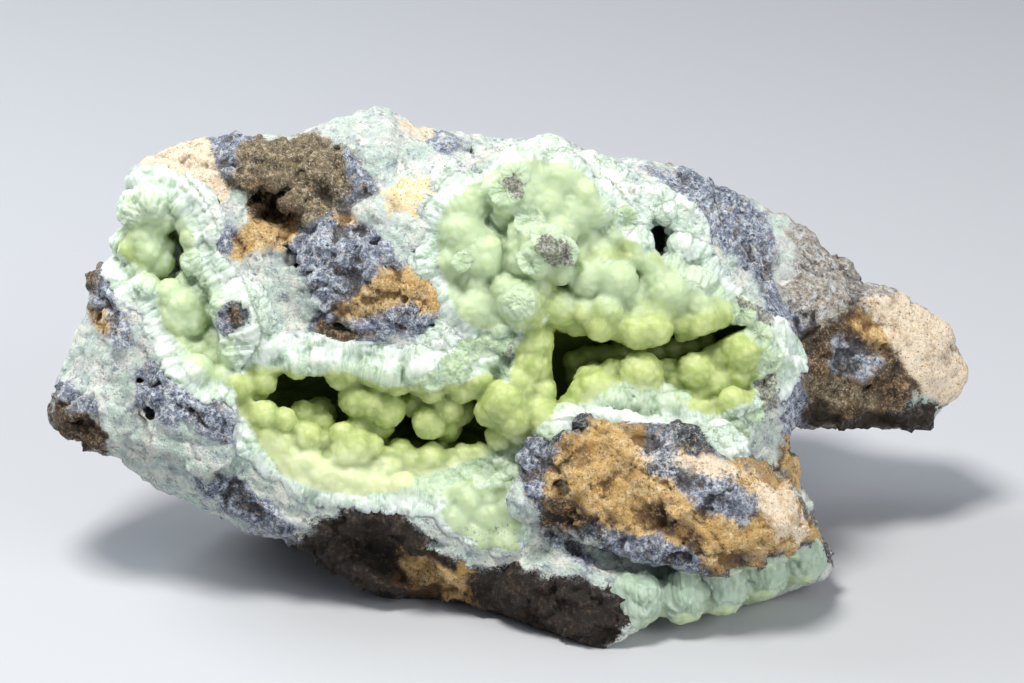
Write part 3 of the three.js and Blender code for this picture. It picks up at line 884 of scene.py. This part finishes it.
def finish_rock(mesh):
    """Marks a piece of rock with its stones and gives it their relief."""
    points, normals = read(mesh)
    x, y = in_picture(points)
    front = ease(-0.25, 0.05, normals[:, 2] + 0.1 * noise(points, 3, 40)) * ease(-26, -22, points[:, 2])
    front = np.maximum(front, ease(1.0, 3.0, points[:, 2]))
    kinds = {name: np.zeros(len(points)) for name in STONES}
    for name, outline in AREAS:
        cover = painted([outline], x, y, points) * front
        for other in kinds.values():
            other *= 1 - cover
        if name != "mint":
            kinds[name] += cover
    # Sides and back: weathered rock with some crust along the upper edge.
    second = noise(points, 6, 53) + 0.6 * noise(points, 2, 54) + 0.3 * noise(points, 0.9, 55)
    crusty = ease(0.1, 0.6, second + 0.06 * (points[:, 1] - 9) + 0.05 * (points[:, 2] + 9))
    rest = (1 - front) * (1 - crusty)
    for name, size, least in WEATHERED:
        seed = 55 + STONES.index(name)
        patch = noise(points, size, seed) + 0.45 * noise(points, 0.4 * size, seed + 20)
        cover = ease(least - 0.25, least + 0.30, patch + 0.2 * noise(points, 1.2, seed))
        for other in STONES:
            kinds[other] -= kinds[other] * cover * (1 - front)
        kinds[name] += rest * cover
    stone = np.clip(sum(kinds.values()), 0, 1)
    root, margin, tag, _ = fans(points)
    grain = 0.10 * noise(points, 0.8, 4) + 0.08 * noise(points, 0.45, 5)
    along = points @ BEDDING
    bedded = points * 1.1 - BEDDING * (0.8 * along)[:, None]
    hollows = ease(0.35, 0.8, noise(bedded, 1.3, 7) + 0.4 * noise(points, 0.6, 17))
    stony = 0.35 * noise(points, 3.4, 1) + 0.30 * facets(points, 3.6, 60) + 0.34 * facets(points, 1.5, 70)
    stony += 1.4 * grain - 0.35 * hollows + 0.28 * noise(bedded, 1.6, 8) + 0.14 * noise(bedded, 0.8, 9)
    sandy = np.clip(kinds["ochre"] + kinds["tan"], 0, 1)
    stony *= 1 - 0.4 * sandy
    stony += sandy * (0.22 * noise(bedded, 2.4, 14) + 0.10 * noise(bedded, 0.5, 15))
    crack = ease(0.10, 0.0, np.abs(noise(bedded, 2.6, 16))) * ease(-0.1, 0.3, noise(points, 5.0, 19))
    stony -= 0.45 * crack * sandy
    stony += 0.45 * noise(bedded, 4.2, 10) * np.clip(kinds["ochre"] + kinds["tan"] + kinds["brown"], 0, 1)
    lumpy = 0.55 + 0.45 * noise(points, 4.0, 12)
    domes = (0.24 * tag + 0.40 * ease(0, 1.0, margin) - 0.2) * lumpy + 0.25 * noise(points, 2.6, 6)
    domes += 0.16 * noise(points, 1.2, 18) + 0.8 * grain
    resting = ease(0.0, 1.2, to_part(points)[:, 2] / MM)
    weathered = np.clip(kinds["grey"] + kinds["tan"], 0, 1)
    stony *= (1 - 0.35 * weathered) * (1 - 0.8 * kinds["cream"])
    rise = (stony * stone + domes * (1 - stone)) * (0.12 + 0.88 * resting)
    beside = ease(0.45, 0.1, crust.sample(points))
    rise = rise * (1 - beside) + np.maximum(rise, 0.25) * beside
    points = points + normals * rise[:, None]
    below = kinds["slate"]
    for name in STONES[1:]:
        below = below + kinds[name]
        put(mesh, name, kinds[name] / (below + 1e-6))
    put(mesh, "stone", stone)
    dull = sum(kinds[name] for name in ("dark", "umber", "brown"))
    put(mesh, "front", front * (1 - np.clip(dull, 0, 1)))
    put(mesh, "rise", rise)
    put_vector(mesh, "root", root)
    put(mesh, "bundle", tag)
    settle(mesh, points)


def finish_crust(mesh, blurred, growth=None):
    """Displaces a crust and marks its looks; growth is the fibres' way where they don't follow the hollow."""
    points, normals = read(mesh)
    put(mesh, "height", blurred.sample(points))
    x, y = in_picture(points)
    root, margin, tag, away = fans(points)
    if growth is None:
        green = painted(GREEN, x, y, points, edge=9, wander=4)
        seen = ease(0.0, 0.4, normals[:, 2]) * ease(-4.5, -2.5, points[:, 2])
        deep = np.maximum(ease(0.5, -0.1, away) * (1 - seen), ease(-3.0, -7.0, points[:, 2]))
        clear = painted([CLEAR], x, y, points, edge=7, wander=12)
        green = np.maximum(np.maximum(green * ease(2.2, 0.8, away), deep), clear)
        cracked = 1 - green
    else:
        root = points - growth * (points @ growth)[:, None]
        _, margin, home = cells(root, 1.1, 14)
        tag = lattice(*home.T, 19)
        smooth = painted([BAND], x, y, points, edge=7, wander=4) * ease(-0.3, 0.2, normals[:, 2])
        cracked = 1 - np.maximum(ease(0.72, 0.95, normals @ growth), smooth)
    flats = np.zeros(len(points), bool)
    for at, radius in zip(broken_at, broken_radii):
        offset = points - at
        reach = np.sqrt((offset * offset).sum(1))
        near = reach < radius * 1.12
        flat = near & (normals[:, 2] > 0.8) & (offset[:, 2] > 0)
        root[near] = at + offset[near] * (radius / (reach[near] + 1e-6))[:, None]
        margin[near] = 1
        cracked[flat] = 1
        flats |= flat
        cracked[near & ~flat] = np.maximum(cracked[near & ~flat], 0.55)
    for at, radius in plain_balls:
        reach = np.sqrt(((points - at) ** 2).sum(1))
        cracked = np.maximum(cracked, ease(radius * 1.25, radius * 1.02, reach))
    _, bumps, _ = cells(points, 1.1, 90)
    even = 0.06 * noise(points, 1.3, 21) + 0.02 * noise(points, 0.5, 22) + 0.12 * ease(0, 0.55, bumps) - 0.06
    blocky = 0.12 * tag + 0.16 * ease(0, 0.25, margin) - 0.10 + 0.20 * facets(points, 1.7, 80)
    raised = even * (1 - cracked) + blocky * cracked
    points = points + normals * raised[:, None]
    put(mesh, "cracked", cracked)
    put(mesh, "clear", np.full(len(points), 0.0 if growth is None else 1.0))
    put(mesh, "yellow", painted(YELLOW, x, y, points, edge=14, wander=8))
    put(mesh, "pale", painted(PALE, x, y, points, edge=16, wander=8))
    stain = painted(STAINS, x, y, points, edge=10)
    if growth is None:
        stain = np.maximum(stain, 0.40 * ease(1.9, 3.2, away))
    put(mesh, "stain", stain)
    # How far back in the hollow a point lies, which sets the painted shade there and weakens the painted
    # highlight.
    put(mesh, "deep", ease(3.2, -3.5, points[:, 2]))
    inner = ease(1.3, 0.0, away) if growth is None else np.zeros(len(points))
    inner[flats] = 1.4
    put(mesh, "inner", inner)
    put_vector(mesh, "root", root)
    put(mesh, "bundle", tag)
    settle(mesh, points)


# Looks

class Nodes:
    """Short ways to write a material's nodes."""

    def __init__(self, name):
        self.material = bpy.data.materials.new(name)
        self.material.use_nodes = True
        self.tree = self.material.node_tree
        self.tree.nodes.clear()

    def add(self, kind, inputs=None, **settings):
        node = self.tree.nodes.new("ShaderNode" + kind)
        for name, value in settings.items():
            setattr(node, name, value)
        for key, value in (inputs or {}).items():
            if isinstance(value, bpy.types.NodeSocket):
                self.tree.links.new(value, node.inputs[key])
            else:
                node.inputs[key].default_value = value
        return node

    def attribute(self, name):
        return self.add("Attribute", attribute_name=name)

    def value(self, name):
        return self.attribute(name).outputs["Fac"]

    def noise(self, scale, detail=2.0, rough=0.6, vector=None):
        inputs = {"Scale": scale, "Detail": detail, "Roughness": rough}
        inputs["Vector"] = vector or self.place()
        return self.add("TexNoise", inputs).outputs["Fac"]

    def place(self):
        """The surface point in millimetres."""
        point = self.add("TexCoord").outputs["Object"]
        return self.add("VectorMath", {0: point, "Scale": 1000.0}, operation="SCALE").outputs[0]

    def math(self, operation, a, b):
        return self.add("Math", {0: a, 1: b}, operation=operation).outputs[0]

    def plus(self, a, b):
        return self.math("ADD", a, b)

    def minus(self, a, b):
        return self.math("SUBTRACT", a, b)

    def times(self, a, b):
        return self.math("MULTIPLY", a, b)

    def step(self, low, high, value):
        inputs = {"Value": value, "From Min": low, "From Max": high, "To Min": 0.0, "To Max": 1.0}
        return self.add("MapRange", inputs, interpolation_type="SMOOTHSTEP").outputs[0]

    def mix(self, share, a, b):
        node = self.add("Mix", data_type="RGBA")
        for key, value in ((0, share), (6, a), (7, b)):
            if isinstance(value, bpy.types.NodeSocket):
                self.tree.links.new(value, node.inputs[key])
            elif key == 0:
                node.inputs[key].default_value = value
            else:
                node.inputs[key].default_value = (*value, 1.0)
        return node.outputs[2]

    def tint(self, base, colour, cover, most):
        """A colour laid over a base where cover says, and at most so much of it."""
        return self.mix(self.times(cover, most), base, colour)

    def bump(self, height, strength, distance, under=None):
        inputs = {"Height": height, "Strength": strength, "Distance": distance * MM}
        if under is not None:
            inputs["Normal"] = under
        return self.add("Bump", inputs).outputs["Normal"]

    def end(self, shader):
        output = self.add("OutputMaterial")
        self.tree.links.new(shader, output.inputs["Surface"])
        return self.material


# Colours of the crust, as linear red, green and blue, among them painted shade and a painted highlight.
GREEN_DEEPER, GREEN_LIGHTER = (0.37, 0.455, 0.15), (0.51, 0.58, 0.25)
GREEN_IN_SHADE, GREEN_CREVICE_SHADE, GREEN_BULGE_HIGHLIGHT = (0.21, 0.29, 0.055), (0.21, 0.29, 0.05), (0.66, 0.72, 0.42)
GREEN_YELLOW, GREEN_FROSTED, GREEN_MILKY = (0.68, 0.73, 0.47), (0.50, 0.61, 0.42), (0.62, 0.70, 0.48)
FIBRE_WHITE, EDGE_WHITE, FROST_WHITE = (0.62, 0.73, 0.64), (0.74, 0.80, 0.76), (0.78, 0.82, 0.79)
BETWEEN_FIBRES, BUNDLE, BLEACHED = (0.34, 0.47, 0.33), (0.44, 0.58, 0.44), (0.72, 0.79, 0.71)
INNER_EDGE, CLEAR_EDGE, CRACK_SHADE = (0.40, 0.53, 0.27), (0.27, 0.37, 0.26), (0.22, 0.31, 0.18)
DIRT_DARK, DIRT_LIGHT = (0.06, 0.055, 0.05), (0.34, 0.32, 0.28)

# Colours of the thin crust on the rock, of what lies on it, and of the painted shade in its hollows.
MINT_BETWEEN, MINT_BUNDLE, MINT_BLEACHED = (0.36, 0.47, 0.40), (0.44, 0.56, 0.47), (0.72, 0.73, 0.64)
MINT_HAZE, MINT_DIRT, MINT_GRIT = (0.40, 0.43, 0.47), (0.12, 0.14, 0.21), (0.22, 0.25, 0.29)
MINT_SAND, MINT_HOLLOW_SHADE = (0.55, 0.49, 0.36), (0.28, 0.31, 0.31)

# Dark, middle and light grains of each stone.
STONE_COLOURS = {
    "slate": ((0.020, 0.024, 0.040), (0.20, 0.235, 0.31), (0.70, 0.71, 0.70)),
    "grey": ((0.10, 0.085, 0.065), (0.34, 0.31, 0.27), (0.62, 0.58, 0.50)),
    "olive": ((0.020, 0.017, 0.012), (0.17, 0.13, 0.07), (0.44, 0.38, 0.26)),
    "ochre": ((0.15, 0.070, 0.018), (0.58, 0.38, 0.14), (0.80, 0.66, 0.42)),
    "tan": ((0.50, 0.33, 0.19), (0.80, 0.66, 0.48), (0.90, 0.82, 0.68)),
    "brown": ((0.010, 0.007, 0.004), (0.085, 0.050, 0.022), (0.40, 0.27, 0.13)),
    # dark: dark grey rock, also used as painted shade under the nose's overhang.
    "dark": ((0.006, 0.006, 0.008), (0.065, 0.070, 0.085), (0.40, 0.43, 0.42)),
    # umber: brown rock darkened to near black as painted shade under the specimen.
    "umber": ((0.002, 0.0015, 0.001), (0.014, 0.008, 0.004), (0.09, 0.055, 0.028)),
    "cream": ((0.66, 0.50, 0.24), (0.74, 0.60, 0.33), (0.82, 0.74, 0.54)),
}

# What lies on every stone: iron stains, dust, light and dark grains; and the painted shade of its hollows,
# near-black brown, and dark rust in the ochre.
IRON, DUST, RUST = (0.58, 0.34, 0.09), (0.60, 0.66, 0.71), (0.50, 0.34, 0.17)
LIGHT_GRAIN, DARK_GRAIN = (0.70, 0.68, 0.60), (0.012, 0.011, 0.012)
HOLLOW_SHADE, HOLLOW_OCHRE = (0.030, 0.022, 0.014), (0.11, 0.052, 0.016)


def fibres(n):
    """Streaks along the fibres, which start at each point's root."""
    root = n.attribute("root").outputs["Vector"]
    fine = n.noise(4.5, 3.0, 0.65, vector=root)
    broad = n.noise(1.3, 2.0, 0.5, vector=root)
    return n.plus(n.times(fine, 0.6), n.times(broad, 0.4))


def crystals(n):
    """Tone, rounding and edge of the crystals that follow the fibres."""
    inputs = {"Vector": n.attribute("root").outputs["Vector"], "Scale": 1.9}
    whole = n.add("TexVoronoi", inputs, feature="F1").outputs
    edge = n.add("TexVoronoi", inputs, feature="DISTANCE_TO_EDGE").outputs["Distance"]
    return whole["Color"], whole["Distance"], edge


def pale_crust(n, streak, between, bundle, bleached, lines=0.55):
    """Broken crust: white and mint fibres with clearer green between them."""
    tone, _, edge = crystals(n)
    pale = n.mix(n.step(0.36, 0.62, streak), between, FIBRE_WHITE)
    pale = n.tint(pale, bundle, n.step(0.30, 0.70, tone), 0.8)
    pale = n.mix(n.times(n.step(0.10, 0.02, edge), lines), pale, EDGE_WHITE)
    pale = n.mix(n.step(0.40, 0.62, n.noise(0.45, 4.0, 0.6)), pale, bleached)
    return n.mix(n.step(0.58, 0.70, n.noise(2.6, 3.0, 0.6)), pale, FROST_WHITE)


def crust_look():
    """Smooth green balls, and pale fibres where the crust is broken."""
    n = Nodes("wavellite")
    wander = n.times(n.minus(n.noise(2.2, 3.0), 0.5), 0.6)
    cracked = n.step(0.3, 0.7, n.plus(n.value("cracked"), wander))
    streak = fibres(n)
    cloud = n.step(0.35, 0.65, n.noise(0.55, 3.0))
    green = n.mix(cloud, GREEN_DEEPER, GREEN_LIGHTER)
    # Painted shade: darker, more saturated green further back in the hollow.
    green = n.tint(green, GREEN_IN_SHADE, n.value("deep"), 0.8)
    # Yellower crust, which on the hollow's floor is partly painted light.
    green = n.tint(green, GREEN_YELLOW, n.value("yellow"), 0.8)
    green = n.tint(green, GREEN_FROSTED, n.value("pale"), 0.8)
    green = n.mix(n.step(0.62, 0.80, n.noise(3.0, 3.0, 0.6)), green, GREEN_MILKY)
    # Painted shade: the crust is darkened in the crevices between its balls, less on the paler crust.
    crevice_shade = n.step(0.02, -0.24, n.value("height"))
    crevice_shade = n.times(crevice_shade, n.minus(1.0, n.times(n.value("pale"), 0.5)))
    green = n.tint(green, GREEN_CREVICE_SHADE, crevice_shade, 0.6)
    # Painted highlight: the crust is lightened where it stands out, less so far back in the hollow.
    bulge_highlight = n.times(n.step(0.03, 0.26, n.value("height")), n.minus(1.0, n.value("deep")))
    green = n.tint(green, GREEN_BULGE_HIGHLIGHT, bulge_highlight, 0.45)
    pale = pale_crust(n, streak, BETWEEN_FIBRES, BUNDLE, BLEACHED)
    pale = n.tint(pale, INNER_EDGE, n.value("inner"), 0.45)
    pale = n.tint(pale, CLEAR_EDGE, n.value("clear"), 0.7)
    # Painted shade of the crevices on the broken crust too.
    pale = n.tint(pale, CRACK_SHADE, crevice_shade, 0.75)
    colour = n.mix(cracked, green, pale)
    speck = n.noise(2.2, 4.0, 0.75)
    dirty = n.plus(n.value("stain"), n.times(n.minus(speck, 0.5), 1.6))
    dirt = n.mix(n.step(0.40, 0.60, n.noise(3.5, 3.0, 0.7)), DIRT_DARK, DIRT_LIGHT)
    colour = n.tint(colour, dirt, n.step(0.45, 0.70, dirty), 0.85)
    round_off = crystals(n)[1]
    ridge = n.minus(n.times(streak, 0.5), round_off)
    relief = n.bump(ridge, n.times(cracked, 0.9), 0.22)
    relief = n.bump(n.noise(5.0, 4.0, 0.7), 0.45, 0.06, under=relief)
    shader = n.add("BsdfPrincipled", {
        "Base Color": colour,
        "Roughness": 0.5,
        "IOR": 1.5,
        "Subsurface Weight": n.minus(0.9, n.times(cracked, 0.5)),
        "Subsurface Radius": (1.0, 1.1, 0.45),
        "Subsurface Scale": 2.1 * MM,
        "Normal": relief,
    })
    return n.end(shader.outputs[0])


def rock_look():
    """Stones of several colours, with a thin pale crust where there is none of them."""
    n = Nodes("host_rock")
    coarse = n.noise(0.8, 4.0, 0.7)
    speck = n.noise(2.2, 4.0, 0.75)
    fine = n.noise(5.0, 3.0, 0.7)
    ragged = n.times(n.minus(n.plus(coarse, n.plus(speck, fine)), 1.5), 1.7)
    mint = pale_crust(n, fibres(n), MINT_BETWEEN, MINT_BUNDLE, MINT_BLEACHED, lines=0.3)
    dirt = n.times(n.step(0.50, 0.64, coarse), n.step(0.42, 0.58, speck))
    haze = n.times(n.step(0.51, 0.57, n.noise(0.7, 6.0, 0.8)), 0.55)
    mint = n.mix(haze, mint, MINT_HAZE)
    mint = n.tint(mint, MINT_DIRT, dirt, 0.85)
    mint = n.mix(n.step(0.58, 0.66, n.noise(1.6, 5.0, 0.8)), mint, MINT_SAND)
    grit = n.times(n.step(0.57, 0.62, n.noise(3.2, 4.0, 0.8)), 0.65)
    mint = n.mix(grit, mint, MINT_GRIT)
    tone = n.plus(n.times(speck, 0.7), n.times(coarse, 0.3))
    broad = n.step(0.42, 0.60, n.noise(0.30, 3.0, 0.5))
    stone = None
    for name, (dark, middle, light) in STONE_COLOURS.items():
        own = n.mix(n.step(0.38, 0.50, tone), dark, middle)
        own = n.mix(n.step(0.50, 0.62, tone), own, light)
        own = n.tint(own, middle, broad, 0.35)
        if stone is None:
            stone = own
            continue
        cover = n.step(0.3, 0.7, n.plus(n.value(name), n.times(ragged, 0.5)))
        stone = n.mix(cover, stone, own)
    yellow = n.times(n.value("ochre"), n.step(0.50, 0.60, n.noise(0.36, 4.0, 0.65)))
    stone = n.tint(stone, IRON, yellow, 0.6)
    # Fewer light grains and rust specks on the umber, which is painted shade, and somewhat fewer on the
    # brown.
    lit = n.minus(1.0, n.math("MAXIMUM", n.value("umber"), n.times(n.value("brown"), 0.6)))
    dust = n.times(n.step(0.50, 0.58, n.noise(1.1, 6.0, 0.8)), 0.6)
    plain = n.minus(1.0, n.plus(n.value("ochre"), n.plus(n.value("olive"), n.value("tan"))))
    dust = n.times(dust, n.times(n.step(0.0, 1.0, plain), n.value("front")))
    stone = n.mix(dust, stone, DUST)
    rusty = n.times(n.step(0.57, 0.66, n.noise(1.3, 4.0, 0.7)), 0.6)
    stone = n.mix(n.times(rusty, lit), stone, RUST)
    stone = n.mix(n.times(n.step(0.60, 0.67, fine), lit), stone, LIGHT_GRAIN)
    stone = n.mix(n.step(0.40, 0.33, fine), stone, DARK_GRAIN)
    bare = n.step(0.35, 0.65, n.plus(n.value("stone"), n.times(ragged, 0.45)))
    rise = n.plus(n.value("rise"), n.times(n.minus(speck, 0.5), 0.8))
    # Painted shade: the rock darkened in its hollows, to dark rust in the ochre and to near-black brown
    # elsewhere.
    hollow_shade_and_rust = n.mix(n.value("ochre"), HOLLOW_SHADE, HOLLOW_OCHRE)
    stone = n.tint(stone, hollow_shade_and_rust, n.step(-0.05, -0.55, rise), 0.75)
    # Painted shade: the thin crust greyer in the rock's hollows.
    mint = n.tint(mint, MINT_HOLLOW_SHADE, n.step(-0.10, -0.45, rise), 0.5)
    colour = n.mix(bare, mint, stone)
    grainy = n.minus(1.0, n.value("cream"))
    relief = n.bump(n.plus(speck, fine), n.times(grainy, 0.9), 0.22)
    relief = n.bump(crystals(n)[1], n.times(n.minus(bare, 1.0), 0.8), 0.25, under=relief)
    relief = n.bump(n.noise(11.0, 3.0, 0.7), n.times(grainy, 0.5), 0.05, under=relief)
    shader = n.add("BsdfPrincipled", {
        "Base Color": colour,
        "Roughness": 0.8,
        "Normal": relief,
    })
    return n.end(shader.outputs[0])


# The specimen's four pieces

GROWTH = np.array([0.10, -0.94, 0.33])  # the way in which the underside's fibres grow
MEETING = -4.0  # where the halves of the rock meet, in u
OVERLAP = 0.1  # how far each half goes beyond that place
CREVICE = 0.55  # millimetres over which a crevice or a bulge counts as one
MOST, MOST_BELOW = 190000, 60000  # triangles of a piece, and of the underside's crust


def place(mesh, name, node, look):
    """Puts a finished mesh into the scene as a piece."""
    mesh.shade_smooth()
    obj = bpy.data.objects.new(name, mesh)
    bpy.context.scene.collection.objects.link(obj)
    mesh.materials.clear()
    mesh.materials.append(look)
    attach(obj, "root")
    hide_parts(node)


def buried(points):
    """How coarse a crust may be: fully on the rock, and somewhat at the back."""
    return np.where(rock.sample(points) < 0.3, 1.0, 0.05 + 0.35 * ease(-5, -9, points[:, 2]))


def behind(points):
    """How coarse the rock may be: somewhat where it faces back or lies at the back."""
    facing = rock.slope(points)[:, 2]
    return 0.04 + 0.26 * np.maximum(ease(0.0, -0.5, facing), ease(-12, -18, points[:, 2]))


def blurred_of(field):
    """The field blurred: negative in crevices and positive on what stands out."""
    blurred = copy.copy(field)
    blurred.soften(round(2 * (CREVICE / field.step) ** 2))
    return blurred


def halves(field):
    """A field's left and right parts, both closed, with a thin overlap."""
    u = (np.arange(field.shape[0]) + field.first[0]) * field.step - MEETING
    for side in (1, -1):
        part = copy.copy(field)
        part.values = np.maximum(field.values, (side * u - OVERLAP)[:, None, None]).astype(np.float32)
        yield part


wavellite, stone_look = crust_look(), rock_look()
for name, half in zip(("rock_left", "rock_right"), halves(rock)):
    mesh = mesh_of(half, name, behind, MOST)
    finish_rock(mesh)
    place(mesh, name, "host_rock", stone_look)
mesh = mesh_of(crust, "crust", buried, MOST)
finish_crust(mesh, blurred_of(crust))
place(mesh, "crust", "wavellite_crust", wavellite)
mesh = mesh_of(under, "crust_below", buried, MOST_BELOW)
finish_crust(mesh, blurred_of(under), GROWTH)
place(mesh, "crust_below", "underside_crust", wavellite)


# Stage

FLOOR_REACH = 2  # metres from the specimen to the floor's edges
FLOOR_COLOUR = (0.48, 0.49, 0.51, 1.0)
SKY_COLOUR, SKY_STRENGTH = (0.78, 0.84, 0.95, 1.0), 0.27
LIT_AT = Vector((0, 0, 0.022))  # the specimen's middle
SENSOR = 36.0  # millimetres wide

floor_mesh = bpy.data.meshes.new("floor")
edges = [(-1, -1), (1, -1), (1, 1), (-1, 1)]
floor_mesh.from_pydata([(FLOOR_REACH * x, FLOOR_REACH * y, 0) for x, y in edges], [], [(0, 1, 2, 3)])
floor = bpy.data.objects.new("floor", floor_mesh)
bpy.context.scene.collection.objects.link(floor)
paper = Nodes("paper")
floor_shader = paper.add("BsdfPrincipled", {"Base Color": FLOOR_COLOUR, "Roughness": 0.7})
floor_mesh.materials.append(paper.end(floor_shader.outputs[0]))
floor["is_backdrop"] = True

world = bpy.data.worlds.new("studio")
world.use_nodes = True
sky = world.node_tree.nodes["Background"]
sky.inputs["Color"].default_value = SKY_COLOUR
sky.inputs["Strength"].default_value = SKY_STRENGTH
bpy.context.scene.world = world
bpy.context.scene.view_settings.view_transform = "Standard"


def lamp(name, at, size, power, colour):
    """A square lamp turned to the specimen: place and size in metres, power in watts."""
    light = bpy.data.lights.new(name, "AREA")
    light.size = size
    light.energy = power
    light.color = colour
    obj = bpy.data.objects.new(name, light)
    obj.location = at
    obj.rotation_euler = (LIT_AT - Vector(at)).to_track_quat("-Z", "Y").to_euler()
    bpy.context.scene.collection.objects.link(obj)


lamp("key", (-0.10, -0.095, 0.43), 0.12, 2.1, (1.0, 0.98, 0.94))
lamp("fill", (0.34, -0.28, 0.22), 0.30, 1.35, (0.97, 0.98, 1.0))
lamp("rim", (-0.30, 0.16, 0.26), 0.20, 1.0, (0.85, 0.92, 1.0))

camera = bpy.data.objects.new("camera", bpy.data.cameras.new("camera"))
bpy.context.scene.collection.objects.link(camera)
camera.location = Vector(to_part(np.array([[0.0, 0.0, DISTANCE]]))[0])
aim = Vector(to_part(np.array([[0.0, 0.0, 0.0]]))[0])
camera.rotation_mode = "QUATERNION"
camera.rotation_quaternion = (aim - camera.location).to_track_quat("-Z", "Y")
camera.data.sensor_width = SENSOR
camera.data.lens = SENSOR * DISTANCE / (PICTURE[0] * PIXEL)
camera.data.clip_start = 0.01
camera.data.clip_end = 10.0
bpy.context.scene.camera = camera

sizes["shown"] = [list(corner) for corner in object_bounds()]
